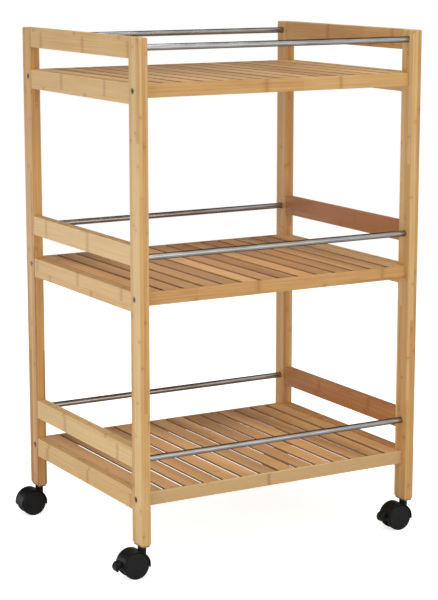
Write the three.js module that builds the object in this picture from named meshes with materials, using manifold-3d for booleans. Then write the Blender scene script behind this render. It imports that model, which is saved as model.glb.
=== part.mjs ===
// Three-tier rolling cart: two bamboo end frames, three slatted shelves, six steel gallery rods
// and four twin-wheel swivel casters.
// Units are millimetres. +X runs along the long side, -Y is the front and +Z is up.
// The origin is on the floor, under the middle of the whole cart's box.
import * as THREE from 'three';
import * as BufferGeometryUtils from 'three/addons/utils/BufferGeometryUtils.js';
import Module from 'manifold-3d';

const wasm = await Module();
wasm.setup();

// ---- driving dimensions ----
const WIDTH = 500;
const DEPTH = 402;
const CASTER_HEIGHT = 50;
const FRAME_OFFSET_X = 20; // half of what the left front brake lever stands out past the left frame
const FIT = 0.2; // clearance between glued or butted faces
const SMALL_FACETS = 12; // sides of a rod, pin or hole
const ROUND_FACETS = 24; // sides of a wheel

const POST = { thick: 16, deep: 30, length: 761, round: 0.8, foot: 2 };
const RAIL = { thick: 15, high: 31, round: 0.8 };
const SHELF_TOPS = [80.4, 387.2, 694]; // above the post bottoms, as are the levels below
const SIDE_RAIL_BOTTOMS = [52, 356.5, 664];
const GUARD_RAIL_BOTTOMS = [117.5, 426, 730];
const ROD_ABOVE_SHELF = 52;
const TIERS = ['bottom', 'middle', 'top'];

const SHELF_RAIL = { thick: 15, high: 20.5, setback: 11, lip: 4 };
const SLAT = { count: 14, gap: 6, thick: 3 };

const ROD = { radius: 4.75, wall: 0.9, socketRadius: 4.9, socketDepth: 9, endGap: 0.4 };
const SCREW = { headRadius: 4.5, headHigh: 2.4, shankRadius: 2.9, length: 34 };
const SCREW_HOLE = { headRadius: 4.8, headDepth: 3.6, shankRadius: 3.1, pilotDepth: 24 };

const WHEEL = { radius: 21, width: 9.5, hubRadius: 8, boreRadius: 2.7, boreDepth: 7 };
const AXLE = { radius: 2.5, length: 21.5 };
const CASTER = { trail: 15, webWidth: 8.5, wheelGap: 0.5, hoodInner: 21.8, hoodOuter: 23 };
const BOSS = { radius: 6.5, top: -2, bottom: -24, boreRadius: 3.1, boreBottom: -25 };
const STEM = { radius: 4, high: 25, plateThick: 1.5, plateInset: 1.2, pinRadius: 2.9, pinBottom: -24 };
const STEM_HOLE = { radius: 4.15, depth: 26 };
const HOOD_DROP = THREE.MathUtils.degToRad(10); // how far the hood's ends reach below the axle

// The brake lever's pivot lies behind the axle and a little above it.
const LEVER = { tongueWidth: 4, pivotBack: 15, pivotUp: 3, pinRadius: 1.5, pinLength: 7.8 };
const PEDAL = { width: 13, bottom: -7, top: 8.6, cornerRadius: 3.2 }; // seen from behind, about the pivot
const LEVER_SLOT = { width: 4.8, from: 10.5, to: 26, low: -3, high: 7, boreRadius: 1.7 };
const LEVER_TRAVEL = THREE.MathUtils.degToRad(12);

const SHELF_LENGTH = WIDTH - 2 * POST.thick - 2 * FIT;
const SLAT_WIDTH = (SHELF_LENGTH - (SLAT.count - 1) * SLAT.gap) / SLAT.count;
const POST_X = WIDTH / 2 - POST.thick / 2;
const POST_Y = DEPTH / 2 - POST.deep / 2;
const SHELF_RAIL_Y = DEPTH / 2 - SHELF_RAIL.setback - SHELF_RAIL.thick / 2;
const AXLE_Z = WHEEL.radius - CASTER_HEIGHT; // below the post bottom
const CASTER_WIDTH = CASTER.webWidth + 2 * CASTER.wheelGap + 2 * WHEEL.width;

// ---- materials ----
function material(color, roughness, metalness) {
  return new THREE.MeshStandardMaterial({ color, roughness, metalness });
}
const bamboo = () => material(0xd3a66b, 0.5, 0);
const paleBamboo = () => material(0xe0bd88, 0.5, 0);
const steel = () => material(0x9a9896, 0.3, 1);
const blackPlastic = () => material(0x1c1c1d, 0.5, 0);
const zinc = () => material(0x77777a, 0.4, 1);

// ---- solids ----
function toSolid(geometry) {
  const bare = geometry.index ? geometry.toNonIndexed() : geometry.clone();
  bare.deleteAttribute('normal');
  bare.deleteAttribute('uv');
  const merged = BufferGeometryUtils.mergeVertices(bare, 1e-4);
  return new wasm.Manifold(new wasm.Mesh({
    numProp: 3,
    vertProperties: new Float32Array(merged.attributes.position.array),
    triVerts: new Uint32Array(merged.index.array),
  }));
}

function toGeometry(solid) {
  const mesh = solid.getMesh();
  const geometry = new THREE.BufferGeometry();
  geometry.setAttribute('position', new THREE.BufferAttribute(mesh.vertProperties, 3));
  geometry.setIndex(new THREE.BufferAttribute(mesh.triVerts, 1));
  geometry.computeVertexNormals();
  return geometry;
}

function box(x0, x1, y0, y1, z0, z1) {
  const geometry = new THREE.BoxGeometry(x1 - x0, y1 - y0, z1 - z0);
  return geometry.translate((x0 + x1) / 2, (y0 + y1) / 2, (z0 + z1) / 2);
}

// Upright cylinder between two levels on the Z axis.
function pillar(radius, z0, z1, facets = SMALL_FACETS) {
  const geometry = new THREE.CylinderGeometry(radius, radius, z1 - z0, facets);
  return geometry.rotateX(Math.PI / 2).translate(0, 0, (z0 + z1) / 2);
}

// Cylinder along X between two stations, through (y, z).
function barX(radius, x0, x1, y, z, facets = SMALL_FACETS) {
  const geometry = new THREE.CylinderGeometry(radius, radius, x1 - x0, facets);
  return geometry.rotateZ(Math.PI / 2).translate((x0 + x1) / 2, y, z);
}

// Cylinder along Y between two stations, through (x, z).
function barY(radius, x, y0, y1, z, facets = SMALL_FACETS) {
  return new THREE.CylinderGeometry(radius, radius, y1 - y0, facets).translate(x, (y0 + y1) / 2, z);
}

function roundedOutline(width, height, radius) {
  const x = width / 2;
  const y = height / 2;
  const shape = new THREE.Shape();
  shape.absarc(x - radius, y - radius, radius, 0, Math.PI / 2);
  shape.absarc(radius - x, y - radius, radius, Math.PI / 2, Math.PI);
  shape.absarc(radius - x, radius - y, radius, Math.PI, 1.5 * Math.PI);
  shape.absarc(x - radius, radius - y, radius, 1.5 * Math.PI, 2 * Math.PI);
  return shape;
}

// A flat outline in X and Z, given a width in Y and centred on y = 0.
function plateXZ(shape, width, curveSegments = 12) {
  const geometry = new THREE.ExtrudeGeometry(shape, { depth: width, bevelEnabled: false, curveSegments });
  return geometry.translate(0, 0, -width / 2).rotateX(Math.PI / 2);
}

function named(name, geometry, finish) {
  const mesh = new THREE.Mesh(geometry, finish);
  mesh.name = name;
  return mesh;
}

// ---- end frames ----
// A post stands at its own origin, with its foot at z = 0. inward is +1 where the cart's middle is on
// the post's +X side, and back is +1 where it is on the post's +Y side.
function postGeometry(inward, back) {
  const outline = roundedOutline(POST.thick, POST.deep, POST.round);
  const shaft = new THREE.ExtrudeGeometry(outline, {
    depth: POST.length - POST.foot, bevelEnabled: false, curveSegments: 2,
  }).translate(0, 0, POST.foot);
  const foot = new THREE.ExtrudeGeometry(roundedOutline(POST.thick - 2 * POST.foot,
    POST.deep - 2 * POST.foot, POST.round / 2), {
    depth: POST.foot, bevelEnabled: true, bevelThickness: POST.foot, bevelSize: POST.foot,
    bevelSegments: 1, curveSegments: 2,
  }).translate(0, 0, POST.foot);
  let solid = toSolid(shaft).add(toSolid(foot));
  solid = solid.subtract(toSolid(pillar(STEM_HOLE.radius, -1, STEM_HOLE.depth)));

  const inner = inward * POST.thick / 2;
  const screwY = back * (POST_Y - SHELF_RAIL_Y);
  for (const shelfTop of SHELF_TOPS) {
    const socket = barX(ROD.socketRadius, -ROD.socketDepth, ROD.socketDepth, 0, shelfTop + ROD_ABOVE_SHELF);
    solid = solid.subtract(toSolid(socket.translate(inner, 0, 0)));
    const screwZ = shelfTop - SHELF_RAIL.high / 2;
    const shank = barX(SCREW_HOLE.shankRadius, -POST.thick, POST.thick, screwY, screwZ);
    const head = barX(SCREW_HOLE.headRadius, -SCREW_HOLE.headDepth, SCREW_HOLE.headDepth, screwY, screwZ);
    solid = solid.subtract(toSolid(shank)).subtract(toSolid(head.translate(-inner, 0, 0)));
  }
  return toGeometry(solid);
}

// A rail runs along Y between the posts of one end frame.
function railGeometry() {
  const length = DEPTH - 2 * POST.deep - 2 * FIT;
  const outline = roundedOutline(RAIL.thick, RAIL.high, RAIL.round);
  const settings = { depth: length, bevelEnabled: false, curveSegments: 2 };
  const geometry = new THREE.ExtrudeGeometry(outline, settings);
  return geometry.translate(0, 0, -length / 2).rotateX(Math.PI / 2);
}

function endFrame(side, sign) {
  const group = new THREE.Group();
  group.position.x = sign * POST_X;
  for (const [place, back] of [['front', 1], ['back', -1]]) {
    const post = named(`post_${place}_${side}`, postGeometry(-sign, back), bamboo());
    post.position.y = -back * POST_Y;
    group.add(post);
  }
  TIERS.forEach((tier, level) => {
    const lower = named(`side_rail_${side}_${tier}`, railGeometry(), bamboo());
    lower.position.z = SIDE_RAIL_BOTTOMS[level] + RAIL.high / 2;
    const guard = named(`guard_rail_${side}_${tier}`, railGeometry(), bamboo());
    guard.position.z = GUARD_RAIL_BOTTOMS[level] + RAIL.high / 2;
    group.add(lower, guard);
  });
  return group;
}

// ---- shelves ----
// One glued panel, its top face at z = 0: a long rail along the front and one along the back, each
// with a rebate behind a narrow lip, and slats that run from rebate to rebate.
function shelfGeometry() {
  const end = SHELF_LENGTH / 2;
  const outer = DEPTH / 2 - SHELF_RAIL.setback;
  const inner = outer - SHELF_RAIL.thick;
  const lip = outer - SHELF_RAIL.lip;
  const pieces = [];
  for (const side of [-1, 1]) {
    const ys = (a, b) => [Math.min(side * a, side * b), Math.max(side * a, side * b)];
    pieces.push(box(-end, end, ...ys(inner, outer), -SHELF_RAIL.high, -SLAT.thick));
    pieces.push(box(-end, end, ...ys(lip, outer), -SHELF_RAIL.high, 0));
  }
  for (let i = 0; i < SLAT.count; i += 1) {
    const start = -end + i * (SLAT_WIDTH + SLAT.gap);
    pieces.push(box(start, start + SLAT_WIDTH, -lip, lip, -SLAT.thick, 0));
  }
  let solid = pieces.map(toSolid).reduce((whole, piece) => whole.add(piece));
  for (const x of [-1, 1]) {
    for (const y of [-1, 1]) {
      const reach = SCREW_HOLE.pilotDepth;
      const pilot = barX(SCREW_HOLE.shankRadius, x * end - reach, x * end + reach, y * SHELF_RAIL_Y,
        -SHELF_RAIL.high / 2);
      solid = solid.subtract(toSolid(pilot));
    }
  }
  return toGeometry(solid);
}

// ---- rods and screws ----
// A gallery rod is a thin tube along X, and its ends sit in blind sockets in the posts.
function rodGeometry() {
  const reach = WIDTH / 2 - POST.thick + ROD.socketDepth - ROD.endGap;
  const bore = ROD.radius - ROD.wall;
  const profile = [
    [bore, -reach], [ROD.radius, -reach], [ROD.radius, reach], [bore, reach], [bore, -reach],
  ].map(([r, along]) => new THREE.Vector2(r, along));
  return new THREE.LatheGeometry(profile, SMALL_FACETS).rotateZ(-Math.PI / 2);
}

// The head's flat face is at x = 0 and the shank runs along +X.
function screwGeometry() {
  const { headRadius, headHigh, shankRadius, length } = SCREW;
  const profile = [
    [0, 0], [headRadius, 0.4], [headRadius, headHigh], [shankRadius, headHigh],
    [shankRadius, length - 2], [0, length],
  ].map(([r, along]) => new THREE.Vector2(r, along));
  return new THREE.LatheGeometry(profile, SMALL_FACETS).rotateZ(-Math.PI / 2);
}

// ---- casters ----
// All caster pieces are drawn with the swivel axis on x = y = 0 and the post's foot at z = 0.
// The wheels trail towards -X.
function stemGeometry() {
  const plate = new THREE.ExtrudeGeometry(
    roundedOutline(POST.thick - 2 * STEM.plateInset, POST.deep - 2 * STEM.plateInset, 1),
    { depth: STEM.plateThick, bevelEnabled: false, curveSegments: 2 },
  ).translate(0, 0, -STEM.plateThick - FIT);
  const solid = toSolid(plate)
    .add(toSolid(pillar(STEM.radius, -STEM.plateThick, STEM.high)))
    .add(toSolid(pillar(STEM.pinRadius, STEM.pinBottom, 0)));
  return toGeometry(solid);
}

// An arched outline around the axle, from HOOD_DROP below it in front to the same behind.
function webOutline() {
  const shape = new THREE.Shape();
  shape.absarc(-CASTER.trail, AXLE_Z, CASTER.hoodInner + 0.5, -HOOD_DROP, Math.PI + HOOD_DROP);
  shape.absarc(-CASTER.trail, AXLE_Z, WHEEL.radius / 2, Math.PI + HOOD_DROP, 2 * Math.PI - HOOD_DROP);
  return shape;
}

function hoodOutline() {
  const shape = new THREE.Shape();
  shape.absarc(-CASTER.trail, AXLE_Z, CASTER.hoodOuter, -HOOD_DROP, Math.PI + HOOD_DROP);
  shape.absarc(-CASTER.trail, AXLE_Z, CASTER.hoodInner, Math.PI + HOOD_DROP, -HOOD_DROP, true);
  return shape;
}

function housingGeometry(hasBrake) {
  const half = CASTER_WIDTH / 2;
  const webHalf = CASTER.webWidth / 2;
  let boss = toSolid(pillar(BOSS.radius, BOSS.bottom, BOSS.top, 16));
  for (const [y0, y1] of [[-half - 1, -webHalf], [webHalf, half + 1]]) {
    boss = boss.subtract(toSolid(barY(CASTER.hoodInner, -CASTER.trail, y0, y1, AXLE_Z, ROUND_FACETS)));
  }
  let solid = toSolid(plateXZ(webOutline(), CASTER.webWidth))
    .add(toSolid(plateXZ(hoodOutline(), CASTER_WIDTH)))
    .add(boss);
  solid = solid.subtract(toSolid(pillar(BOSS.boreRadius, BOSS.boreBottom, 1)));
  solid = solid.subtract(toSolid(barY(AXLE.radius + 0.1, -CASTER.trail, -half, half, AXLE_Z)));
  if (hasBrake) {
    const slot = box(-CASTER.trail - LEVER_SLOT.to, -CASTER.trail - LEVER_SLOT.from,
      -LEVER_SLOT.width / 2, LEVER_SLOT.width / 2, AXLE_Z + LEVER_SLOT.low, AXLE_Z + LEVER_SLOT.high);
    const bore = barY(LEVER_SLOT.boreRadius, -CASTER.trail - LEVER.pivotBack, -webHalf - 1, webHalf + 1,
      AXLE_Z + LEVER.pivotUp);
    solid = solid.subtract(toSolid(slot)).subtract(toSolid(bore));
  }
  return toGeometry(solid);
}

// The wheel turns about Y, with its inner face at y = 0 and its closed outer face at y = -width.
function wheelGeometry() {
  const { radius, width, hubRadius, boreRadius, boreDepth } = WHEEL;
  const rim = radius - 2.6;
  const profile = [
    [0, boreDepth], [boreRadius, boreDepth], [boreRadius, 0], [hubRadius, 0], [hubRadius, 2], [rim, 2],
    [rim, 0], [radius, 0.8], [radius, width - 1.2], [rim + 0.8, width], [0, width - 0.5],
  ].map(([r, along]) => new THREE.Vector2(r, along));
  return new THREE.LatheGeometry(profile, ROUND_FACETS).rotateX(Math.PI);
}

// The lever in its released position: a hooked pedal behind the hood, a tongue that enters the hood's
// slot, and a cross pin at the pivot. Drawn about the pivot, with -X pointing backwards.
function leverGeometry() {
  const pedal = new THREE.Shape();
  pedal.moveTo(-6.8, 7.4);
  pedal.quadraticCurveTo(-10.2, 9.4, -14, 6.6);
  pedal.quadraticCurveTo(-18.3, 3.6, -18.3, 0);
  pedal.quadraticCurveTo(-18.3, -4.2, -16, -6.8);
  pedal.lineTo(-14.2, -6.8);
  pedal.quadraticCurveTo(-14.4, -2, -9.4, -1.8);
  const { width, bottom, top, cornerRadius } = PEDAL;
  const seenFromBehind = new THREE.ExtrudeGeometry(
    roundedOutline(width, top - bottom, cornerRadius),
    { depth: 20, bevelEnabled: false, curveSegments: 4 },
  );
  seenFromBehind.rotateX(Math.PI / 2).rotateZ(-Math.PI / 2).translate(0, 0, (top + bottom) / 2);
  const tongue = new THREE.Shape();
  tongue.absarc(0, 0, 2.8, -Math.PI / 2, Math.PI / 2);
  tongue.lineTo(-12, 2.2);
  tongue.lineTo(-12, -1);
  const half = LEVER.pinLength / 2;
  const solid = toSolid(plateXZ(pedal, width, 6))
    .intersect(toSolid(seenFromBehind))
    .add(toSolid(plateXZ(tongue, LEVER.tongueWidth, 6)))
    .add(toSolid(barY(LEVER.pinRadius, 0, -half, half, 0)));
  return toGeometry(solid);
}

// leverAngle is 0 for a released brake and LEVER_TRAVEL for a pressed one; null leaves the brake out.
function caster(place, outward, leverAngle) {
  const group = new THREE.Group();
  const wheelFace = CASTER.webWidth / 2 + CASTER.wheelGap;
  group.add(named(`caster_stem_${place}`, stemGeometry(), zinc()));
  group.add(named(`caster_housing_${place}`, housingGeometry(leverAngle !== null), blackPlastic()));
  const axle = barY(AXLE.radius, -CASTER.trail, -AXLE.length / 2, AXLE.length / 2, AXLE_Z);
  group.add(named(`caster_axle_${place}`, axle, zinc()));
  for (const [which, sign] of [['outer', outward], ['inner', -outward]]) {
    const wheel = named(`caster_wheel_${place}_${which}`, wheelGeometry(), blackPlastic());
    wheel.rotation.x = sign < 0 ? 0 : Math.PI;
    wheel.position.set(-CASTER.trail, sign * wheelFace, AXLE_Z);
    group.add(wheel);
  }
  if (leverAngle !== null) {
    const lever = named(`brake_lever_${place}`, leverGeometry(), blackPlastic());
    lever.rotation.y = -leverAngle;
    lever.position.set(-CASTER.trail - LEVER.pivotBack, 0, AXLE_Z + LEVER.pivotUp);
    group.add(lever);
  }
  return group;
}

// ---- the cart ----
function buildCart() {
  const cart = new THREE.Group();
  cart.add(endFrame('left', -1), endFrame('right', 1));
  TIERS.forEach((tier, level) => {
    const shelf = named(`shelf_${tier}`, shelfGeometry(), paleBamboo());
    shelf.position.z = SHELF_TOPS[level];
    cart.add(shelf);
    for (const [place, y] of [['front', -1], ['back', 1]]) {
      const rod = named(`rod_${place}_${tier}`, rodGeometry(), steel());
      rod.position.set(0, y * POST_Y, SHELF_TOPS[level] + ROD_ABOVE_SHELF);
      cart.add(rod);
      for (const [side, x] of [['left', -1], ['right', 1]]) {
        const screw = named(`screw_${place}_${side}_${tier}`, screwGeometry(), zinc());
        screw.rotation.z = x < 0 ? 0 : Math.PI;
        const face = WIDTH / 2 - SCREW_HOLE.headDepth + SCREW.headHigh + FIT;
        screw.position.set(x * face, y * SHELF_RAIL_Y, SHELF_TOPS[level] - SHELF_RAIL.high / 2);
        cart.add(screw);
      }
    }
  });
  const brakes = { front_left: LEVER_TRAVEL, front_right: 0, back_left: null, back_right: null };
  for (const [place, y] of [['front', -1], ['back', 1]]) {
    for (const [side, x] of [['left', -1], ['right', 1]]) {
      const unit = caster(`${place}_${side}`, y, brakes[`${place}_${side}`]);
      unit.position.set(x * POST_X, y * POST_Y, 0);
      cart.add(unit);
    }
  }
  return cart;
}

const cart = buildCart();
cart.position.set(FRAME_OFFSET_X, 0, CASTER_HEIGHT);

const model = new THREE.Group();
model.add(cart);

export default model;
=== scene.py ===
"""Looks of the rolling cart: laminated bamboo boards, steel rods, recessed screws and black casters.

Lengths are in metres in the CAD frame. The brake pedal's outline and the bamboo's grain alone are in
millimetres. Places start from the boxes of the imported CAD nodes, and what a box does not show is a
named value below.
"""
import math
import random

import bmesh
import bpy
import numpy as np
from mathutils import Matrix, Vector

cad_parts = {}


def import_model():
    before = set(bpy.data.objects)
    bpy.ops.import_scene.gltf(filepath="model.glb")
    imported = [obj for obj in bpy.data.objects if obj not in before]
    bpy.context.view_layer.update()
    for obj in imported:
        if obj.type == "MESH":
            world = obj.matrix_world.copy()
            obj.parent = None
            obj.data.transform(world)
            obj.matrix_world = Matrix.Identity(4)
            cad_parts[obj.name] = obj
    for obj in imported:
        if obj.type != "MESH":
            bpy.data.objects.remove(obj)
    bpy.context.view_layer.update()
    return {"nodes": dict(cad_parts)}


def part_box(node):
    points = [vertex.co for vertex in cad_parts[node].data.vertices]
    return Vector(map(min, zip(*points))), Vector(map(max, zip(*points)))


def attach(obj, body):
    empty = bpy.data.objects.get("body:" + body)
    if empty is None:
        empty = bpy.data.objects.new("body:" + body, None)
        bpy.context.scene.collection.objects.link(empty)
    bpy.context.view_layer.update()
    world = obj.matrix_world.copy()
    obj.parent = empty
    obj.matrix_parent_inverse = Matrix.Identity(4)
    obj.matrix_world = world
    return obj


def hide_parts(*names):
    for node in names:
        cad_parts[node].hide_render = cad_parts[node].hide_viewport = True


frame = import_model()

MM = 0.001
X, Y, Z = 0, 1, 2
SEED = 20
TIERS = ("bottom", "middle", "top")
SIDES = ("left", "right")
PLACES = [(depth, side) for depth in ("front", "back") for side in SIDES]
SHARP_ANGLE = math.radians(38)
draws = random.Random(SEED)
scene = bpy.context.scene

# ---- boards ----
EDGE_ROUND = 0.8 * MM  # long edges of posts and rails
TOP_ROUND = 2.2 * MM  # a post's top
SLAT_ROUND = 0.6 * MM
ARC_STEPS = 4
FOOT_HIGH = 2.8 * MM  # a post's foot tapers over this height
FOOT_INSET = 1.6 * MM
SLAT_COUNT = 14
SLAT_GAP = 6.0 * MM
SLAT_THICK = 3.0 * MM
LIP = 4.0 * MM  # the shelf rail's lip in front of the slats' ends
LIP_ROUND = 1.2 * MM
REBATE_FIT = 0.1 * MM
SHELF_RAIL_THICK = 15.0 * MM
RAIL_END_ROUND = 0.3 * MM
SLAT_END_ROUND = 0.4 * MM
STRAY_FRONT = (-0.05 * MM, 0.30 * MM)  # how far a slat's side strays outwards at its ends
STRAY_BACK = (0.15 * MM, 0.55 * MM)
POST_SPREAD = 0.05  # how far boards of a kind differ in tone
END_RAIL_SPREAD = 0.06
SHELF_RAIL_SPREAD = 0.05
SLAT_SPREAD = 0.12

# Painted light and shade for the most part: the right frame's inner faces and the back posts are darker as
# painted shade, the low left and front boards paler as painted light.
BOARD_LIGHT_SHADE_TONES = {  # paler (+) and darker (-) boards
    "bamboo_guard_rail_left_bottom": 0.16,
    "bamboo_side_rail_left_bottom": 0.12,
    "bamboo_guard_rail_right_top": -0.12,
    "bamboo_guard_rail_right_middle": -0.68,
    "bamboo_guard_rail_right_bottom": -0.68,
    "bamboo_side_rail_right_bottom": -0.30,
    "bamboo_shelf_rail_front_bottom": 0.52,
    "bamboo_shelf_rail_front_middle": -0.30,
    "bamboo_post_back_left": -0.32,
    "bamboo_post_back_right": -0.12,
}

# ---- rods and screws ----
ROD_WALL = 0.9 * MM
ROD_SEGMENTS = 40
SOCKET_RADIUS = 4.95 * MM
SOCKET_DEPTH = 9.0 * MM
RIM_CHAMFER = 0.35 * MM
COUNTERBORE_RADIUS = 4.8 * MM
COUNTERBORE_DEPTH = 3.6 * MM
HEAD_RADIUS = 4.5 * MM
HEAD_HIGH = 2.4 * MM
SHANK_RADIUS = 2.9 * MM
HEX_ACROSS = 4.0 * MM
HEX_DEPTH = 1.7 * MM

# ---- casters ----
WHEEL_SEGMENTS = 72
HOOD_INNER = 21.8 * MM
HOOD_OUTER = 23.0 * MM
HOOD_DROP = math.radians(10)  # how far the hood's ends reach below the axle
WEB_WIDTH = 8.5 * MM
BOSS_RADIUS = 6.5 * MM
BOSS_TOP = 48.0 * MM
BOSS_BOTTOM = 26.0 * MM
STEM_BORE = 3.1 * MM
PLATE_THICK = 1.5 * MM
PLATE_CORNER = 2.0 * MM
PLATE_EDGE = 0.4 * MM
PIN_RADIUS = 2.9 * MM
SLEEVE_RADIUS = 4.0 * MM
WELL_HALF = 20.0 * MM  # half the length of the cut that clears a wheel
AXLE_BORE = 2.6 * MM
LEVER_TRAVEL = math.radians(12)
LEVER_PIVOT = Vector((-15.0, 0.0, 3.0)) * MM  # from the axle
LEVER_BORE = 1.7 * MM
SLOT_LOW = Vector((-26.0, -2.4, -3.0)) * MM  # the hood's slot for the lever, from the axle
SLOT_HIGH = Vector((-10.5, 2.4, 7.0)) * MM
PEDAL_WIDTH = 13.0  # in millimetres, as the three below; heights are from the lever's pivot
PEDAL_BOTTOM = -7.0
PEDAL_TOP = 8.6
PEDAL_CORNER = 3.2
PEDAL_RIBS = 6
PEDAL_RIB_DEPTH = 0.45
TONGUE_RADIUS = 2.8
TONGUE_HALF = 2.0
LEVER_PIN_RADIUS = 1.5
LEVER_PIN_HALF = 3.9


# ---- mesh code ----
def loft(bm, rings, closed=False, caps=True):
    """Skins a row of rings that all have the same number of points."""
    loops = [[bm.verts.new(point) for point in ring] for ring in rings]
    pairs = list(zip(loops, loops[1:]))
    if closed:
        pairs.append((loops[-1], loops[0]))
    for a, b in pairs:
        for i in range(len(a)):
            j = (i + 1) % len(a)
            bm.faces.new((a[i], a[j], b[j], b[i]))
    if caps and not closed:
        bm.faces.new(loops[0])
        bm.faces.new(loops[-1])
    return loops


def turned(bm, profile, place, segments, closed=False):
    """Turns (radius, height) points about the Z axis of the matrix place. A radius of 0 is a pole."""
    poles = [row for row in (0, -1) if profile[row][0] == 0]
    rows = [row for row in profile if row[0] > 0]
    angles = [2 * math.pi * i / segments for i in range(segments)]
    rings = [
        [place @ Vector((r * math.cos(a), r * math.sin(a), h)) for a in angles] for r, h in rows
    ]
    loops = loft(bm, rings, closed=closed, caps=False)
    for row in poles:
        pole = bm.verts.new(place @ Vector((0, 0, profile[row][1])))
        ring = loops[row]
        for i in range(segments):
            bm.faces.new((ring[i], ring[(i + 1) % segments], pole))
    if not closed:
        for row in (0, -1):
            if row not in poles:
                bm.faces.new(loops[row])


def facing(axis, sign, point):
    """A matrix whose Z axis points along a world axis, with its origin at point."""
    direction = Vector((0, 0, 0))
    direction[axis] = sign
    return Matrix.Translation(point) @ direction.to_track_quat("Z", "Y").to_matrix().to_4x4()


def arc(centre, radius, start, end, steps):
    """Points of an arc in a plane, both ends included."""
    return [
        (
            centre[0] + radius * math.cos(start + (end - start) * i / steps),
            centre[1] + radius * math.sin(start + (end - start) * i / steps),
        )
        for i in range(steps + 1)
    ]


def rounded_section(width, height, radius):
    """A rectangle about the origin with rounded corners, anticlockwise."""
    x, y = width / 2 - radius, height / 2 - radius
    quarter = math.pi / 2
    points = []
    for turn, (cx, cy) in enumerate([(x, y), (-x, y), (-x, -y), (x, -y)]):
        points += arc((cx, cy), radius, turn * quarter, (turn + 1) * quarter, ARC_STEPS)
    return points


def settle(bm, name, material):
    """Turns a bmesh into an object with its normals outwards."""
    bmesh.ops.recalc_face_normals(bm, faces=bm.faces)
    mesh = bpy.data.meshes.new(name)
    bm.to_mesh(mesh)
    bm.free()
    mesh.materials.append(material)
    obj = bpy.data.objects.new(name, mesh)
    scene.collection.objects.link(obj)
    return obj


def apply_modifiers(obj):
    bpy.context.view_layer.update()
    graph = bpy.context.evaluated_depsgraph_get()
    mesh = bpy.data.meshes.new_from_object(obj.evaluated_get(graph))
    obj.modifiers.clear()
    old = obj.data
    obj.data = mesh
    bpy.data.meshes.remove(old)


def combine(obj, operation, *others):
    """Adds, cuts or intersects the other objects, which are used up."""
    for other in others:
        step = obj.modifiers.new(operation.lower(), "BOOLEAN")
        step.operation = operation
        step.solver = "EXACT"
        step.object = other
        apply_modifiers(obj)
        old = other.data
        bpy.data.objects.remove(other)
        bpy.data.meshes.remove(old)


def soften(obj, width, segments=2):
    """Breaks the sharp edges of a moulded part."""
    step = obj.modifiers.new("edges", "BEVEL")
    step.width = width
    step.segments = segments
    step.limit_method = "ANGLE"
    step.angle_limit = math.radians(40)
    step.harden_normals = False
    apply_modifiers(obj)


def shade(obj):
    """Smooth shading that keeps flat faces flat and sharp edges sharp."""
    obj.data.shade_smooth()
    obj.data.set_sharp_from_angle(angle=SHARP_ANGLE)
    step = obj.modifiers.new("normals", "WEIGHTED_NORMAL")
    step.keep_sharp = True


def hand_over(obj, body, nodes):
    """Finishes a piece: shades it smoothly, ties it to its CAD body and hides the CAD nodes it stands for.
    """
    shade(obj)
    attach(obj, body)
    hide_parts(*nodes)


def set_grain(obj, along, across, tone_spread):
    """Gives each vertex its place in the board's own axes, in millimetres, and the board its tone.

    The place is shifted at random, so that no two boards show the same strips.
    """
    depth = 3 - along - across
    count = len(obj.data.vertices)
    points = np.empty(count * 3, np.float32)
    obj.data.vertices.foreach_get("co", points)
    points = points.reshape(-1, 3)[:, [along, across, depth]] / MM
    shift = [draws.uniform(1000, 9000), draws.uniform(500, 4000), draws.uniform(500, 4000)]
    grain = obj.data.attributes.new("grain", "FLOAT_VECTOR", "POINT")
    grain.data.foreach_set("vector", (points + shift).astype(np.float32).ravel())
    tone = obj.data.attributes.new("tone", "FLOAT", "POINT")
    # the board's tone: a random spread plus its offset from the board tone table, which paints light and
    # shade on some boards
    value = draws.uniform(-tone_spread, tone_spread) + BOARD_LIGHT_SHADE_TONES.get(obj.name, 0.0)
    tone.data.foreach_set("value", np.full(count, value, np.float32))


def board(bm, low, high, along, across, edge, ends):
    """A board with rounded long edges. ends holds, for its low and high end, the (distance from
    the end, inset of the section) steps from the end inwards."""
    depth = 3 - along - across
    middle = (low + high) / 2
    size = high - low

    def ring(station, inset):
        section = rounded_section(
            size[across] - 2 * inset, size[depth] - 2 * inset, max(edge - inset, 0.2 * MM)
        )
        points = []
        for a, b in section:
            point = Vector((0, 0, 0))
            point[along] = station
            point[across] = middle[across] + a
            point[depth] = middle[depth] + b
            points.append(point)
        return points

    rings = [ring(low[along] + distance, inset) for distance, inset in ends[0]]
    rings += [ring(high[along] - distance, inset) for distance, inset in reversed(ends[1])]
    loft(bm, rings)


def round_end(radius, steps):
    """The (distance, inset) steps of a quarter round."""
    quarter = [math.pi / 2 * i / steps for i in range(steps + 1)]
    return [(radius * (1 - math.sin(a)), radius * (1 - math.cos(a))) for a in reversed(quarter)]


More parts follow.
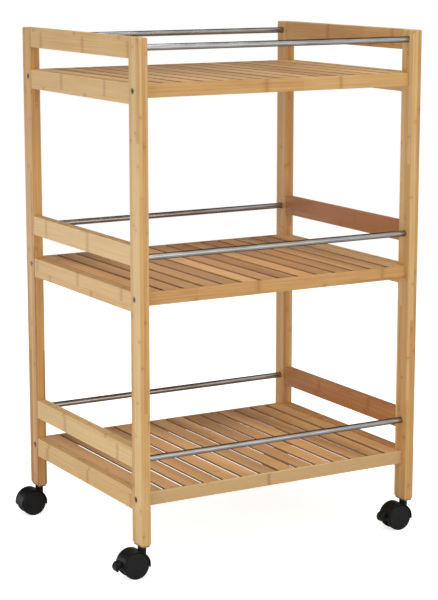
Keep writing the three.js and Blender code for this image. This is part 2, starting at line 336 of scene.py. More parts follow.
# ---- materials ----
class Graph:
    """A material with a Principled shader, and short calls that add nodes to it."""

    def __init__(self, name, **constants):
        self.material = bpy.data.materials.new(name)
        self.material.use_nodes = True
        self.tree = self.material.node_tree
        self.tree.nodes.clear()
        self.shader = self.tree.nodes.new("ShaderNodeBsdfPrincipled")
        output = self.tree.nodes.new("ShaderNodeOutputMaterial")
        self.tree.links.new(self.shader.outputs[0], output.inputs["Surface"])
        for socket, value in constants.items():
            self.shader.inputs[socket.replace("_", " ")].default_value = value

    def put(self, socket, value):
        """Sets a socket to a value or links it to another socket."""
        if isinstance(value, bpy.types.NodeSocket):
            self.tree.links.new(value, socket)
        else:
            socket.default_value = value

    def add(self, kind, inputs=(), **settings):
        node = self.tree.nodes.new("ShaderNode" + kind)
        for name, value in settings.items():
            setattr(node, name, value)
        for key, value in dict(inputs).items():
            self.put(node.inputs[key], value)
        return node

    def math(self, operation, a, b=0.0):
        return self.add("Math", {0: a, 1: b}, operation=operation).outputs[0]

    def step(self, value, low, high, out_low=0.0, out_high=1.0):
        """A smooth step from out_low at low to out_high at high."""
        inputs = {
            "Value": value, "From Min": low, "From Max": high, "To Min": out_low, "To Max": out_high
        }
        return self.add("MapRange", inputs, interpolation_type="SMOOTHSTEP").outputs[0]

    def stretch(self, vector, factors):
        inputs = {0: vector, 1: factors}
        return self.add("VectorMath", inputs, operation="MULTIPLY").outputs[0]

    def noise(self, vector, scale, detail, roughness=0.5):
        inputs = {"Vector": vector, "Scale": scale, "Detail": detail, "Roughness": roughness}
        return self.add("TexNoise", inputs).outputs["Fac"]

    def random(self, x, y, z):
        """Three random numbers for a cell."""
        cell = self.add("CombineXYZ", {0: x, 1: y, 2: z}).outputs[0]
        white = self.add("TexWhiteNoise", {"Vector": cell}, noise_dimensions="3D")
        return self.add("SeparateColor", {0: white.outputs["Color"]}).outputs

    def attribute(self, name):
        return self.add("Attribute", attribute_name=name)

    def ramp(self, value, stops):
        node = self.add("ValToRGB", {0: value})
        elements = node.color_ramp.elements
        while len(elements) < len(stops):
            elements.new(1.0)
        for element, (place, colour) in zip(elements, stops):
            element.position = place
            element.color = (*colour, 1.0)
        return node.outputs[0]

    def mix(self, factor, a, b, blend="MIX"):
        node = self.add("Mix", {0: factor}, data_type="RGBA", blend_type=blend)
        self.put(node.inputs[6], a)
        self.put(node.inputs[7], b)
        return node.outputs[2]

    def bump(self, height, distance, strength=1.0):
        inputs = {"Height": height, "Distance": distance, "Strength": strength}
        self.put(self.shader.inputs["Normal"], self.add("Bump", inputs).outputs[0])


BAMBOO_TONES = [
    (0.0, (0.40, 0.155, 0.042)),
    (0.3, (0.53, 0.255, 0.076)),
    (0.6, (0.625, 0.36, 0.127)),
    (1.0, (0.71, 0.475, 0.215)),
]
SLAT_TONES = [
    (0.0, (0.44, 0.155, 0.045)),
    (0.3, (0.58, 0.26, 0.082)),
    (0.6, (0.70, 0.375, 0.138)),
    (1.0, (0.80, 0.485, 0.215)),
]
# painted shade for the slats' long sides, down in the gaps
GAP_SHADE_BROWN = (0.16, 0.065, 0.024, 1.0)


def bamboo(name, strip, ply, piece, node_gap, node_soft, contrast, tone, specular=0.4, tones=None):
    """Laminated bamboo, in millimetres of the board's own grain.

    strip and ply are a strip's width across and through the board, piece its length between butt
    joints, node_gap the distance between its nodes and node_soft half a node line's width. contrast
    is how far the strips' tones differ.
    """
    g = Graph(name, Specular_IOR_Level=specular)
    grain = g.attribute("grain").outputs["Vector"]
    u, v, w = g.add("SeparateXYZ", {0: grain}).outputs
    column = g.math("FLOOR", g.math("DIVIDE", v, strip))
    layer = g.math("FLOOR", g.math("DIVIDE", w, ply))
    ones = g.random(column, layer, 3.0)
    start = g.math("MULTIPLY", ones[0], piece)
    segment_place = g.math("DIVIDE", g.math("ADD", u, start), piece)
    segment = g.math("FLOOR", segment_place)
    cell = g.random(column, layer, segment)

    # fibres, from broad streaks to fine dark vessels
    streaks = g.noise(g.stretch(grain, (0.006, 0.42, 0.42)), 1.0, 3.0, 0.55)
    fibres = g.noise(g.stretch(grain, (0.02, 2.4, 2.4)), 1.0, 3.0, 0.6)
    vessels = g.noise(g.stretch(grain, (0.07, 3.4, 3.4)), 1.0, 1.0)
    vessels = g.step(vessels, 0.60, 0.74)
    clouds = g.noise(g.stretch(grain, (0.012, 0.03, 0.03)), 1.0, 2.0)

    # nodes: a dark line with a soft darker halo, at its own place in each strip
    wobble = g.noise(g.stretch(grain, (0.02, 0.35, 0.35)), 1.0, 1.0)
    node_place = g.math("ADD", g.math("DIVIDE", u, node_gap), cell[1])
    node_place = g.math("ADD", node_place, g.math("MULTIPLY", wobble, 4.0 / node_gap))
    from_node = g.math("ABSOLUTE", g.math("SUBTRACT", g.math("FRACT", node_place), 0.5))
    from_node = g.math("MULTIPLY", from_node, node_gap)
    node_line = g.step(from_node, 0.0, node_soft, 1.0, 0.0)
    node_halo = g.step(from_node, 1.0, 11.0, 1.0, 0.0)

    # glue lines between strips
    def seam(place, width, size):
        from_middle = g.math("ABSOLUTE", g.math("SUBTRACT", g.math("FRACT", place), 0.5))
        inside = g.math("SUBTRACT", 0.5, from_middle)
        return g.step(g.math("MULTIPLY", inside, size), 0.0, width, 1.0, 0.0)

    across = seam(g.math("DIVIDE", v, strip), 0.22, strip)
    glue = g.math("MAXIMUM", across, seam(segment_place, 0.3, piece))
    glue = g.math("MAXIMUM", glue, seam(g.math("DIVIDE", w, ply), 0.22, ply))

    value = g.math("ADD", g.attribute("tone").outputs["Fac"], tone)
    value = g.math("ADD", value, g.step(cell[0], 0.0, 1.0, -contrast, contrast * 0.7))
    value = g.math("ADD", value, g.step(streaks, 0.25, 0.75, -0.17, 0.15))
    value = g.math("ADD", value, g.step(fibres, 0.3, 0.7, -0.10, 0.08))
    value = g.math("ADD", value, g.step(clouds, 0.3, 0.7, -0.06, 0.06))
    value = g.math("SUBTRACT", value, g.math("MULTIPLY", node_halo, 0.12))
    colour = g.ramp(value, tones or BAMBOO_TONES)
    dark = g.math("MULTIPLY", node_line, 0.34)
    dark = g.math("ADD", dark, g.math("MULTIPLY", vessels, 0.20))
    dark = g.math("ADD", dark, g.math("MULTIPLY", glue, 0.28))
    colour = g.mix(dark, colour, (0.27, 0.12, 0.045, 1.0))
    # painted shade: the slats' long sides, down in the gaps, are darkened towards the gap shade brown
    colour = g.mix(g.math("MULTIPLY", g.attribute("side").outputs["Fac"], 0.75), colour, GAP_SHADE_BROWN)
    g.put(g.shader.inputs["Base Color"], colour)

    gloss = g.math("ADD", g.step(fibres, 0.3, 0.7, 0.38, 0.50), g.math("MULTIPLY", vessels, 0.10))
    g.put(g.shader.inputs["Roughness"], g.math("ADD", gloss, g.step(clouds, 0.3, 0.7, -0.03, 0.04)))
    height = g.math("SUBTRACT", fibres, g.math("MULTIPLY", vessels, 0.6))
    height = g.math("SUBTRACT", height, g.math("MULTIPLY", glue, 1.6))
    height = g.math("ADD", height, g.math("MULTIPLY", node_line, 0.3))
    g.bump(height, 0.05 * MM, 0.55)
    return g.material


def place_of(g):
    return g.add("TexCoord").outputs["Object"]


def rod_steel():
    """Drawn steel tube, polished along its length, with fine draw lines and faint handling marks."""
    g = Graph("rod_steel", Metallic=1.0, Anisotropic=0.35)
    place = place_of(g)
    lines = g.noise(g.stretch(place, (6.0, 2600.0, 2600.0)), 1.0, 3.0, 0.6)
    smears = g.noise(g.stretch(place, (25.0, 120.0, 120.0)), 1.0, 3.0)
    colour = g.ramp(g.step(smears, 0.3, 0.7), [(0.0, (0.30, 0.291, 0.284)), (1.0, (0.39, 0.38, 0.372))])
    colour = g.mix(g.step(lines, 0.45, 0.75, 0.0, 0.3), colour, (0.16, 0.155, 0.15, 1.0))
    g.put(g.shader.inputs["Base Color"], colour)
    # painted shade: the dark edge tint darkens the tube's top and bottom edges, standing in for dark
    # reflections there
    g.shader.inputs["Specular Tint"].default_value = (0.16, 0.155, 0.15, 1.0)
    g.put(g.shader.inputs["Roughness"], g.step(smears, 0.25, 0.75, 0.17, 0.27))
    g.bump(lines, 0.002 * MM, 0.2)
    return g.material


def dark_zinc():
    """Blackened zinc plating with a crystalline mottle and brighter rubbed spots."""
    g = Graph("dark_zinc", Metallic=1.0)
    place = place_of(g)
    mottle = g.add("TexVoronoi", {"Vector": place, "Scale": 900.0}).outputs["Color"]
    mottle = g.add("SeparateColor", {0: mottle}).outputs[0]
    rubbed = g.step(g.noise(place, 350.0, 4.0), 0.5, 0.7)
    colour = g.ramp(mottle, [(0.0, (0.13, 0.124, 0.118)), (1.0, (0.24, 0.228, 0.215))])
    g.put(g.shader.inputs["Base Color"], g.mix(rubbed, colour, (0.26, 0.255, 0.25, 1.0)))
    g.put(g.shader.inputs["Roughness"], g.step(mottle, 0.0, 1.0, 0.32, 0.46))
    g.bump(mottle, 0.01 * MM, 0.3)
    return g.material


def black_plastic(name, shade_low, shade_high, rough_low, rough_high, texture):
    """Moulded black plastic: fine spark texture, flow marks and pale scuffs."""
    g = Graph(name, Specular_IOR_Level=0.22)
    place = place_of(g)
    spark = g.noise(place, texture, 3.0, 0.6)
    flow = g.noise(place, 60.0, 3.0)
    scuff_area = g.step(g.noise(place, 90.0, 2.0), 0.52, 0.68)
    scratches = g.step(g.noise(g.stretch(place, (300.0, 300.0, 3600.0)), 1.0, 2.0), 0.64, 0.72)
    scuffs = g.math("MULTIPLY", scuff_area, scratches)
    low, high = (shade_low,) * 3, (shade_high,) * 3
    colour = g.ramp(g.step(flow, 0.3, 0.7), [(0.0, low), (1.0, high)])
    colour = g.mix(g.math("MULTIPLY", scuffs, 0.35), colour, (0.09, 0.088, 0.085, 1.0))
    g.put(g.shader.inputs["Base Color"], colour)
    rough = g.math("ADD", g.step(flow, 0.3, 0.7, rough_low, rough_high), g.math("MULTIPLY", scuffs, 0.15))
    g.put(g.shader.inputs["Roughness"], rough)
    g.bump(g.math("SUBTRACT", spark, g.math("MULTIPLY", scuffs, 0.4)), 0.03 * MM, 0.35)
    return g.material


POST_BAMBOO = bamboo(
    "post_bamboo", strip=7.2, ply=5.4, piece=900.0, node_gap=260.0, node_soft=3.0,
    contrast=0.27, tone=0.66,
)
RAIL_BAMBOO = bamboo(
    "rail_bamboo", strip=34.0, ply=5.2, piece=1400.0, node_gap=150.0, node_soft=6.5,
    contrast=0.10, tone=0.72,
)
SHELF_RAIL_BAMBOO = bamboo(
    "shelf_rail_bamboo", strip=40.0, ply=5.2, piece=420.0, node_gap=230.0, node_soft=5.0,
    contrast=0.10, tone=0.68,
)
SLAT_BAMBOO = bamboo(
    "slat_bamboo", strip=15.0, ply=3.6, piece=1600.0, node_gap=330.0, node_soft=3.0,
    contrast=0.13, tone=0.90, specular=0.38, tones=SLAT_TONES,
)
ROD_STEEL = rod_steel()
DARK_ZINC = dark_zinc()
HOUSING_PLASTIC = black_plastic("housing_plastic", 0.003, 0.006, 0.42, 0.52, 2600.0)
WHEEL_PLASTIC = black_plastic("wheel_plastic", 0.0045, 0.0075, 0.42, 0.52, 1800.0)
LEVER_PLASTIC = black_plastic("lever_plastic", 0.003, 0.006, 0.40, 0.50, 2200.0)


# ---- end frames ----
def hole_cutter(bm, axis, sign, mouth, radius, depth):
    """A blind hole with a small chamfer at its mouth, drilled from mouth against the axis."""
    profile = [
        (0, depth), (radius, depth), (radius, RIM_CHAMFER),
        (radius + RIM_CHAMFER, 0), (radius + RIM_CHAMFER, -MM), (0, -MM),
    ]
    turned(bm, profile, facing(axis, sign, mouth), 32)


def post(depth, side):
    place = f"{depth}_{side}"
    low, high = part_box(f"post_{place}")
    bm = bmesh.new()
    foot = [(0.0, FOOT_INSET), (FOOT_HIGH, 0.0)]
    board(bm, low, high, Z, Y, EDGE_ROUND, (foot, round_end(TOP_ROUND, 4)))
    obj = settle(bm, f"bamboo_post_{place}", POST_BAMBOO)
    inward = 1 if side == "left" else -1
    outer, inner = (low.x, high.x) if side == "left" else (high.x, low.x)
    cutters = bmesh.new()
    for tier in TIERS:
        screw_low, screw_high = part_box(f"screw_{place}_{tier}")
        centre = (screw_low + screw_high) / 2
        mouth = Vector((outer, centre.y, centre.z))
        hole_cutter(cutters, X, inward, mouth, COUNTERBORE_RADIUS, COUNTERBORE_DEPTH)
        rod_low, rod_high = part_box(f"rod_{depth}_{tier}")
        mouth = Vector((inner, (rod_low.y + rod_high.y) / 2, (rod_low.z + rod_high.z) / 2))
        hole_cutter(cutters, X, -inward, mouth, SOCKET_RADIUS, SOCKET_DEPTH)
    combine(obj, "DIFFERENCE", settle(cutters, "cutters", POST_BAMBOO))
    set_grain(obj, Z, Y, POST_SPREAD)
    hand_over(obj, "frame", [f"post_{place}"])


def end_rail(kind, side, tier):
    node = f"{kind}_{side}_{tier}"
    low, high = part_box(node)
    bm = bmesh.new()
    end = round_end(RAIL_END_ROUND, 1)
    board(bm, low, high, Y, Z, EDGE_ROUND, (end, end))
    obj = settle(bm, f"bamboo_{node}", RAIL_BAMBOO)
    set_grain(obj, Y, Z, END_RAIL_SPREAD)
    hand_over(obj, "frame", [node])


# ---- shelves ----
def shelf_rail(tier, depth):
    """The long rail under the slats' ends, rebated so that a lip hides them."""
    low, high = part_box(f"shelf_{tier}")
    sign = -1 if depth == "front" else 1
    face = high.y
    inside = face - SHELF_RAIL_THICK
    bottom, top, r = low.z, high.z, EDGE_ROUND
    rebate = top - SLAT_THICK - REBATE_FIT
    quarter = math.pi / 2
    section = arc((face - r, bottom + r), r, -quarter, 0, ARC_STEPS)
    section += arc((face - LIP_ROUND, top - LIP_ROUND), LIP_ROUND, 0, quarter, ARC_STEPS)
    section += [(face - LIP, top), (face - LIP, rebate), (inside, rebate)]
    section += arc((inside + r, bottom + r), r, math.pi, 3 * quarter, ARC_STEPS)
    bm = bmesh.new()
    loft(bm, [[Vector((x, sign * y, z)) for y, z in section] for x in (low.x, high.x)])
    obj = settle(bm, f"bamboo_shelf_rail_{depth}_{tier}", SHELF_RAIL_BAMBOO)
    set_grain(obj, X, Z, SHELF_RAIL_SPREAD)
    hand_over(obj, "frame", [f"shelf_{tier}"])


def stray_sides(bm, middle, reach, left_free, right_free):
    """Lets a slat's free long sides stray a little from their places, outwards for the most part,
    so that some gaps are tighter than others and most are tighter at the back."""
    for sign, free in ((-1, left_free), (1, right_free)):
        at_front = draws.uniform(*STRAY_FRONT)
        at_back = draws.uniform(*STRAY_BACK)
        if not free:
            continue
        for vertex in bm.verts:
            if (vertex.co.x - middle) * sign > 0:
                along = (vertex.co.y + reach) / (2 * reach)
                vertex.co.x += sign * (at_front + (at_back - at_front) * along)


def paint_gap_shade(obj, middle, half):
    """Marks how far each vertex is on the long sides, for painted shade: the sides, down in the gaps
    between slats, are darkened as if in shade.
    """
    side = obj.data.attributes.new("side", "FLOAT", "POINT")
    for vertex, mark in zip(obj.data.vertices, side.data):
        from_side = half - abs(vertex.co.x - middle)
        mark.value = min(1.0, max(0.0, 1.4 - 1.4 * from_side / SLAT_ROUND))


def slats(tier):
    low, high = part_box(f"shelf_{tier}")
    width = (high.x - low.x - (SLAT_COUNT - 1) * SLAT_GAP) / SLAT_COUNT
    reach = high.y - LIP - REBATE_FIT
    for index in range(SLAT_COUNT):
        start = low.x + index * (width + SLAT_GAP)
        bm = bmesh.new()
        end = round_end(SLAT_END_ROUND, 2)
        slat_low = Vector((start, -reach, high.z - SLAT_THICK))
        board(bm, slat_low, Vector((start + width, reach, high.z)), Y, X, SLAT_ROUND, (end, end))
        middle = start + width / 2
        stray_sides(bm, middle, reach, index > 0, index < SLAT_COUNT - 1)
        obj = settle(bm, f"bamboo_slat_{tier}_{index + 1:02d}", SLAT_BAMBOO)
        set_grain(obj, Y, X, SLAT_SPREAD)
        # painted shade on the long sides, down in the gaps
        paint_gap_shade(obj, middle, width / 2)
        hand_over(obj, "frame", [f"shelf_{tier}"])


# ---- rods and screws ----
def rod(depth, tier):
    """A thin tube that ends inside the sockets of two posts."""
    node = f"rod_{depth}_{tier}"
    low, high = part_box(node)
    radius = (high.z - low.z) / 2
    length = high.x - low.x
    edge = 0.3 * MM
    bore = radius - ROD_WALL
    profile = [
        (radius - edge, 0), (radius, edge), (radius, length - edge), (radius - edge, length),
        (bore, length), (bore, 0),
    ]
    bm = bmesh.new()
    start = Vector((low.x, (low.y + high.y) / 2, (low.z + high.z) / 2))
    turned(bm, profile, facing(X, 1, start), ROD_SEGMENTS, closed=True)
    obj = settle(bm, f"steel_{node}", ROD_STEEL)
    hand_over(obj, "frame", [node])


def hexagon_reach(angle, across):
    """How far a hexagon reaches at an angle, for its width across flats."""
    sector = math.pi / 3
    return across / 2 / math.cos((angle % sector) - sector / 2)


def screw(depth, side, tier):
    """A furniture screw: chamfered head with a hexagon socket, a shank and a tapered tip."""
    node = f"screw_{depth}_{side}_{tier}"
    low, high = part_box(node)
    centre = (low + high) / 2
    outward = -1 if side == "left" else 1
    face = low.x if side == "left" else high.x
    place = facing(X, outward, Vector((face, centre.y, centre.z)))
    length = high.x - low.x
    edge = 0.4 * MM
    segments = 36

    def ring(height, reach):
        angles = [2 * math.pi * i / segments for i in range(segments)]
        reaches = [reach(a) if callable(reach) else reach for a in angles]
        return [
            place @ Vector((r * math.cos(a), r * math.sin(a), height)) for a, r in zip(angles, reaches)
        ]

    def socket(angle):
        return hexagon_reach(angle, HEX_ACROSS)

    bm = bmesh.new()
    loft(bm, [
        ring(-length, SHANK_RADIUS * 0.25), ring(-length + 4 * MM, SHANK_RADIUS),
        ring(-HEAD_HIGH, SHANK_RADIUS), ring(-HEAD_HIGH, HEAD_RADIUS - edge / 2),
        ring(-HEAD_HIGH + edge / 2, HEAD_RADIUS), ring(-edge, HEAD_RADIUS), ring(0, HEAD_RADIUS - edge),
        ring(0, socket), ring(-HEX_DEPTH, socket), ring(-HEX_DEPTH - 0.5 * MM, HEX_ACROSS * 0.1),
    ])
    obj = settle(bm, f"zinc_{node}", DARK_ZINC)
    hand_over(obj, "frame", [node])


# ---- casters ----
def caster_centres(place):
    """The swivel axis at floor level, and the axle's middle."""
    stem_low, stem_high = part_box(f"caster_stem_{place}")
    wheel_low, wheel_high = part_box(f"caster_wheel_{place}_outer")
    swivel = (stem_low + stem_high) / 2
    axle = (wheel_low + wheel_high) / 2
    return Vector((swivel.x, swivel.y, 0)), Vector((axle.x, swivel.y, axle.z))


def stem(place):
    """The steel pin and its mounting plate under the post."""
    node = f"caster_stem_{place}"
    low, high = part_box(node)
    centre = (low + high) / 2
    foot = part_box(f"post_{place}")[0].z
    bm = bmesh.new()
    plate_top = foot - 0.2 * MM
    plate_low = Vector((low.x, low.y, plate_top - PLATE_THICK))
    plate_high = Vector((high.x, high.y, plate_top))
    end = round_end(PLATE_EDGE, 2)
    board(bm, plate_low, plate_high, Z, Y, PLATE_CORNER, (end, end))
    plate = settle(bm, f"zinc_{node}", DARK_ZINC)
    bm = bmesh.new()
    upper = high.z - foot
    profile = [
        (0, low.z), (PIN_RADIUS - 0.5 * MM, low.z), (PIN_RADIUS, low.z + 0.5 * MM),
        (PIN_RADIUS, foot - MM), (SLEEVE_RADIUS, foot - MM),
        (SLEEVE_RADIUS, foot + upper * 0.6), (SLEEVE_RADIUS, high.z - MM), (3.2 * MM, high.z), (0, high.z),
    ]
    turned(bm, profile, Matrix.Translation((centre.x, centre.y, 0)), 32)
    combine(plate, "UNION", settle(bm, "pin", DARK_ZINC))
    hand_over(plate, "frame", [node])


def hood(bm, axle, half):
    """The arched cover over both wheels, with rounded rims."""
    section = rounded_section(HOOD_OUTER - HOOD_INNER, 2 * half, 0.5 * MM)
    middle = (HOOD_OUTER + HOOD_INNER) / 2
    steps = 72
    rings = []
    for i in range(steps + 1):
        angle = -HOOD_DROP + (math.pi + 2 * HOOD_DROP) * i / steps
        out = Vector((math.cos(angle), 0, math.sin(angle)))
        rings.append([axle + out * (middle + r) + Vector((0, y, 0)) for r, y in section])
    loft(bm, rings)


def web(bm, axle):
    """The wall between the wheels: an arch with a smaller arch cut from under it."""
    outline = arc((0, 0), HOOD_INNER + 0.5 * MM, -HOOD_DROP, math.pi + HOOD_DROP, 56)
    outline += arc((0, 0), 10.5 * MM, math.pi + HOOD_DROP, 2 * math.pi - HOOD_DROP, 28)
    rings = []
    for y in (-WEB_WIDTH / 2, WEB_WIDTH / 2):
        rings.append([axle + Vector((x, y, z)) for x, z in outline])
    loft(bm, rings)


def bar_y(bm, centre, radius, half, segments=32):
    profile = [(0, -half), (radius, -half), (radius, half), (0, half)]
    turned(bm, profile, facing(Y, 1, centre), segments)


def block(bm, low, high):
    corners = [(low.x, low.y), (high.x, low.y), (high.x, high.y), (low.x, high.y)]
    loft(bm, [[Vector((x, y, z)) for x, y in corners] for z in (low.z, high.z)])


def housing(place, has_brake):
    node = f"caster_housing_{place}"
    low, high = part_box(node)
    swivel, axle = caster_centres(place)
    half = (high.y - low.y) / 2
    bm = bmesh.new()
    hood(bm, axle, half)
    obj = settle(bm, f"plastic_{node}", HOUSING_PLASTIC)
    bm = bmesh.new()
    web(bm, axle)
    wall = settle(bm, "web", HOUSING_PLASTIC)
    bm = bmesh.new()
    collar = [
        (0, BOSS_BOTTOM), (BOSS_RADIUS, BOSS_BOTTOM), (BOSS_RADIUS, BOSS_TOP - 0.7 * MM),
        (BOSS_RADIUS - 0.25 * MM, BOSS_TOP - 0.25 * MM), (BOSS_RADIUS - 0.7 * MM, BOSS_TOP),
        (0, BOSS_TOP),
    ]
    turned(bm, collar, Matrix.Translation(swivel), 48)
    boss = settle(bm, "boss", HOUSING_PLASTIC)
    wells = bmesh.new()
    for sign in (-1, 1):
        middle = axle + Vector((0, sign * (WEB_WIDTH / 2 + WELL_HALF), 0))
        bar_y(wells, middle, HOOD_INNER, WELL_HALF, 96)
    combine(boss, "DIFFERENCE", settle(wells, "wells", HOUSING_PLASTIC))
    combine(obj, "UNION", wall, boss)
    cuts = bmesh.new()
    below, above = BOSS_BOTTOM - MM, BOSS_TOP + MM
    bore = [(0, below), (STEM_BORE, below), (STEM_BORE, above), (0, above)]
    turned(cuts, bore, Matrix.Translation(swivel), 32)
    combine(obj, "DIFFERENCE", settle(cuts, "bore", HOUSING_PLASTIC))
    cuts = bmesh.new()
    bar_y(cuts, axle, AXLE_BORE, half)
    if has_brake:
        block(cuts, axle + SLOT_LOW, axle + SLOT_HIGH)
    combine(obj, "DIFFERENCE", settle(cuts, "slot", HOUSING_PLASTIC))
    if has_brake:
        cuts = bmesh.new()
        bar_y(cuts, axle + LEVER_PIVOT, LEVER_BORE, WEB_WIDTH / 2 + MM)
        combine(obj, "DIFFERENCE", settle(cuts, "pin_bore", HOUSING_PLASTIC))
    hand_over(obj, f"caster_{place}", [node])


def wheel_profile(radius, width):
    """(radius, distance from the inner face) steps from the axle's bore round to the outer face."""
    bore = [(0, 7 * MM), (2.7 * MM, 7 * MM), (2.7 * MM, 0.2 * MM)]
    inner_face = [
        (3.0 * MM, 0), (7.6 * MM, 0), (8 * MM, 0.4 * MM), (8 * MM, 2 * MM), (17.6 * MM, 2 * MM),
        (18.2 * MM, 0.3 * MM), (18.6 * MM, 0),
    ]
    tread = [
        (radius - 0.8 * MM, 0.5 * MM), (radius - 0.25 * MM, 1.1 * MM), (radius, 2.6 * MM),
        (radius, width - 3.2 * MM), (radius - 0.2 * MM, width - 1.5 * MM),
        (radius - 0.8 * MM, width - 0.6 * MM), (radius - 1.5 * MM, width - 0.15 * MM),
    ]
    rim_ring = [
        (radius - 2.1 * MM, width), (radius - 2.5 * MM, width - 0.1 * MM),
        (radius - 2.8 * MM, width - 0.55 * MM), (radius - 3.2 * MM, width - 0.6 * MM),
    ]
    dish = [(radius - 6.5 * MM, width - 0.75 * MM), (6.5 * MM, width - 0.95 * MM)]
    boss = [
        (4.4 * MM, width - 0.95 * MM), (4.1 * MM, width - 0.6 * MM), (3.6 * MM, width - 0.45 * MM),
        (0, width - 0.4 * MM),
    ]
    return bore + inner_face + tread + rim_ring + dish + boss


def wheel(place, which):
    """One disc of the twin wheel: crowned tread, rim ring, dished face and a small centre boss."""
    node = f"caster_wheel_{place}_{which}"
    low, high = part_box(node)
    swivel, axle = caster_centres(place)
    radius = (high.z - low.z) / 2
    width = high.y - low.y
    outward = 1 if (low.y + high.y) / 2 > swivel.y else -1
    inner = low.y if outward > 0 else high.y
    origin = Vector((axle.x, inner, axle.z))
    profile = wheel_profile(radius, width)
    bm = bmesh.new()
    turned(bm, profile, facing(Y, outward, origin), WHEEL_SEGMENTS)
    obj = settle(bm, f"plastic_{node}", WHEEL_PLASTIC)
    hand_over(obj, f"wheel_{place}_{which}", [node])


def quadratic(start, control, end, steps):
    """Points of a quadratic curve, its start left out."""
    points = []
    for i in range(1, steps + 1):
        t = i / steps
        a, b, c = (1 - t) ** 2, 2 * t * (1 - t), t * t
        points.append(tuple(a * s + b * k + c * e for s, k, e in zip(start, control, end)))
    return points


def ribbed(points, ribs, depth):
    """Presses shallow grooves into a run of outline points, with a full-height rib between them."""
    centres = [Vector(p) for p in points]
    result = []
    for i, point in enumerate(centres):
        ahead = centres[min(i + 1, len(centres) - 1)]
        behind = centres[max(i - 1, 0)]
        tangent = (ahead - behind).normalized()
        inward = Vector((-tangent.y, tangent.x))
        phase = i / (len(centres) - 1) * ribs
        groove = depth * (0.5 - 0.5 * math.cos(2 * math.pi * phase))
        result.append(tuple(point + inward * groove))
    return result


def brake_lever(place, angle, body):
    """A hooked pedal with ribs for the shoe's grip, on a tongue that enters the hood."""
    node = f"brake_lever_{place}"
    pivot = caster_centres(place)[1] + LEVER_PIVOT
    turn = Matrix.Rotation(-angle, 3, "Y")
    grip = quadratic((-14, 6.6), (-18.3, 3.6), (-18.3, 0), 28)
    grip += quadratic((-18.3, 0), (-18.3, -4.2), (-16, -6.8), 20)
    outline = [(-6.8, 7.4)] + quadratic((-6.8, 7.4), (-10.2, 9.4), (-14, 6.6), 12)
    outline += ribbed(grip, PEDAL_RIBS, PEDAL_RIB_DEPTH)
    outline += [(-14.2, -6.8)] + quadratic((-14.2, -6.8), (-14.4, -2), (-9.4, -1.8), 10)

    def prism(points, half, name):
        """A side outline in X and Z, as wide as twice half."""
        bm = bmesh.new()
        loft(bm, [[turn @ Vector((x, y, z)) * MM for x, z in points] for y in (-half, half)])
        return settle(bm, name, LEVER_PLASTIC)

    obj = prism(outline, PEDAL_WIDTH / 2, f"plastic_{node}")
    middle = (PEDAL_TOP + PEDAL_BOTTOM) / 2
    section = rounded_section(PEDAL_WIDTH, PEDAL_TOP - PEDAL_BOTTOM, PEDAL_CORNER)
    bm = bmesh.new()
    loft(bm, [[turn @ Vector((x, y, z + middle)) * MM for y, z in section] for x in (-20, 0)])
    combine(obj, "INTERSECT", settle(bm, "seen_from_behind", LEVER_PLASTIC))
    soften(obj, 0.3 * MM)
    tongue = arc((0, 0), TONGUE_RADIUS, -math.pi / 2, math.pi / 2, 16) + [(-12, 2.2), (-12, -1)]
    combine(obj, "UNION", prism(tongue, TONGUE_HALF, "tongue"))
    pin = arc((0, 0), LEVER_PIN_RADIUS, 0, 2 * math.pi - 0.2, 30)
    combine(obj, "UNION", prism(pin, LEVER_PIN_HALF, "pin"))
    obj.data.transform(Matrix.Translation(pivot))
    hand_over(obj, body, [node])


# ---- floor, light and camera ----
CAMERA_PLACE = Vector((-1.4676, -2.5758, 0.9433))
CAMERA_PITCH = math.radians(79.133)
CAMERA_TURN = math.radians(-30.012)
CAMERA_LENS = 111.45
FLOOR_RADIUS = 2.6
FLOOR_WHITE = 0.80
FLOOR_LIFT = 0.72
SHELF_FILL_DROP = 20 * MM
SHELF_FILL_SPREAD = math.radians(110)
DOME_SOFT = 0.48  # the dome's strength for soft light
DOME_DARK = 0.05  # its dark upper back, which the rods mirror


def floor():
    """A pale round floor. It shows a little brighter than it lights the cart, as on a cut-out picture."""
    g = Graph("floor", Roughness=0.85, Specular_IOR_Level=0.1)
    speckle = g.noise(place_of(g), 40.0, 3.0)
    pale = g.ramp(speckle, [(0.3, (FLOOR_WHITE,) * 3), (0.7, (FLOOR_WHITE + 0.02,) * 3)])
    g.put(g.shader.inputs["Base Color"], pale)
    g.shader.inputs["Emission Color"].default_value = (1.0, 1.0, 1.0, 1.0)
    seen = g.add("LightPath").outputs["Is Camera Ray"]
    g.put(g.shader.inputs["Emission Strength"], g.math("MULTIPLY", seen, FLOOR_LIFT))
    bm = bmesh.new()
    bmesh.ops.create_circle(bm, cap_ends=True, radius=FLOOR_RADIUS, segments=96)
    settle(bm, "floor", g.material)


def softbox(name, place, target, size, power, colour):
    data = bpy.data.lights.new(name, "AREA")
    data.shape = "RECTANGLE"
    data.size, data.size_y = size
    data.energy = power
    data.color = colour
    obj = bpy.data.objects.new(name, data)
    obj.location = place
    obj.rotation_euler = (Vector(target) - Vector(place)).to_track_quat("-Z", "Y").to_euler()
    obj.visible_camera = False
    scene.collection.objects.link(obj)
    return obj


def shelf_fill(tier, shelf_above, power):
    """A small lamp under the shelf above, for a lower shelf that the studio's lights barely reach."""
    low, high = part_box(f"shelf_{shelf_above}")
    centre = (low + high) / 2
    place = Vector((centre.x, centre.y, low.z - SHELF_FILL_DROP))
    target = Vector((centre.x, centre.y, 0.0))
    fill = softbox(f"{tier} shelf fill", place, target, (0.40, 0.30), power, (1.0, 0.97, 0.92))
    fill.data.spread = SHELF_FILL_SPREAD
    fill.visible_glossy = False


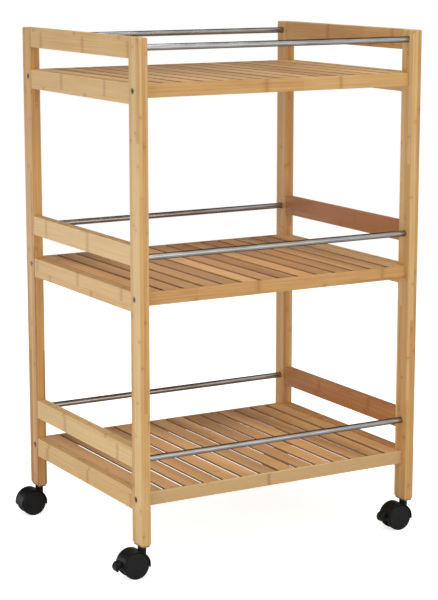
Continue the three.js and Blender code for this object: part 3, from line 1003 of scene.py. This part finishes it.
def world():
    """A white backdrop, an even dome of soft light, and for reflections a studio that is white in
    front and round the horizon and dark in its upper back."""
    data = bpy.data.worlds.new("studio")
    data.use_nodes = True
    tree = data.node_tree
    tree.nodes.clear()

    def add(kind, **inputs):
        node = tree.nodes.new("ShaderNode" + kind)
        for key, value in inputs.items():
            if isinstance(value, bpy.types.NodeSocket):
                tree.links.new(value, node.inputs[key.replace("_", " ")])
            else:
                node.inputs[key.replace("_", " ")].default_value = value
        return node

    def smooth(value, low, high, out_low, out_high):
        node = add("MapRange", Value=value)
        node.interpolation_type = "SMOOTHSTEP"
        node.inputs["From Min"].default_value = low
        node.inputs["From Max"].default_value = high
        node.inputs["To Min"].default_value = out_low
        node.inputs["To Max"].default_value = out_high
        return node.outputs[0]

    direction = add("SeparateXYZ", Vector=add("TexCoord").outputs["Generated"])
    ahead = smooth(direction.outputs["Y"], -0.35, 0.05, 1.0, DOME_DARK)
    horizon = smooth(direction.outputs["Z"], 0.08, 0.16, 1.0, DOME_DARK)
    brighter = add("Math")
    brighter.operation = "MAXIMUM"
    tree.links.new(ahead, brighter.inputs[0])
    tree.links.new(horizon, brighter.inputs[1])
    path = add("LightPath")
    backdrop = add("Background", Strength=1.0)
    soft = add("Background", Strength=DOME_SOFT)
    mirrored = add("Background", Strength=brighter.outputs[0])
    for shader in (backdrop, soft, mirrored):
        shader.inputs["Color"].default_value = (1.0, 1.0, 1.0, 1.0)
    glossy = tree.nodes.new("ShaderNodeMixShader")
    seen = tree.nodes.new("ShaderNodeMixShader")
    output = tree.nodes.new("ShaderNodeOutputWorld")
    for mix, factor, a, b in (
        (glossy, path.outputs["Is Glossy Ray"], soft, mirrored),
        (seen, path.outputs["Is Camera Ray"], glossy, backdrop),
    ):
        tree.links.new(factor, mix.inputs[0])
        tree.links.new(a.outputs[0], mix.inputs[1])
        tree.links.new(b.outputs[0], mix.inputs[2])
    tree.links.new(seen.outputs[0], output.inputs["Surface"])
    scene.world = data


def camera():
    data = bpy.data.cameras.new("camera")
    data.lens = CAMERA_LENS
    data.clip_end = 100.0
    obj = bpy.data.objects.new("camera", data)
    obj.location = CAMERA_PLACE
    obj.rotation_euler = (CAMERA_PITCH, 0.0, CAMERA_TURN)
    scene.collection.objects.link(obj)
    scene.camera = obj


# ---- the cart ----
for depth, side in PLACES:
    post(depth, side)
for side in SIDES:
    for tier in TIERS:
        end_rail("side_rail", side, tier)
        end_rail("guard_rail", side, tier)
for tier in TIERS:
    slats(tier)
    for depth in ("front", "back"):
        shelf_rail(tier, depth)
        rod(depth, tier)
        for side in SIDES:
            screw(depth, side, tier)

BRAKES = {"front_left": LEVER_TRAVEL, "front_right": 0.0}
for depth, side in PLACES:
    place = f"{depth}_{side}"
    stem(place)
    housing(place, place in BRAKES)
    for which in ("outer", "inner"):
        wheel(place, which)
    if place in BRAKES:
        brake_lever(place, BRAKES[place], f"brake_{place}")
    axle_node = frame["nodes"][f"caster_axle_{place}"]
    axle_node.data.materials.clear()
    axle_node.data.materials.append(DARK_ZINC)

scene.view_settings.view_transform = "Standard"
scene.view_settings.look = "None"
floor()
world()
softbox("left", (-1.35, -0.5, 0.32), (0, 0, 0.15), (1.0, 0.56), 6.3, (0.84, 0.93, 1.0))
softbox("back left", (-1.2, 1.5, 0.2), (-0.2, 0, 0.1), (1.0, 0.5), 3.0, (0.93, 0.97, 1.0))
softbox("front", (0.45, -1.9, 0.5), (0, 0, 0.2), (1.4, 0.9), 5.0, (1.0, 0.945, 0.85))
softbox("front high", (0.1, -1.8, 1.8), (0, 0, 0.4), (1.6, 1.2), 7.0, (1.0, 0.98, 0.93))
softbox("top", (0.0, -0.1, 2.3), (0, 0, 0.5), (1.3, 1.3), 21.0, (0.88, 0.95, 1.0))
shelf_fill("middle", "top", 0.35)
shelf_fill("bottom", "middle", 0.30)
camera()
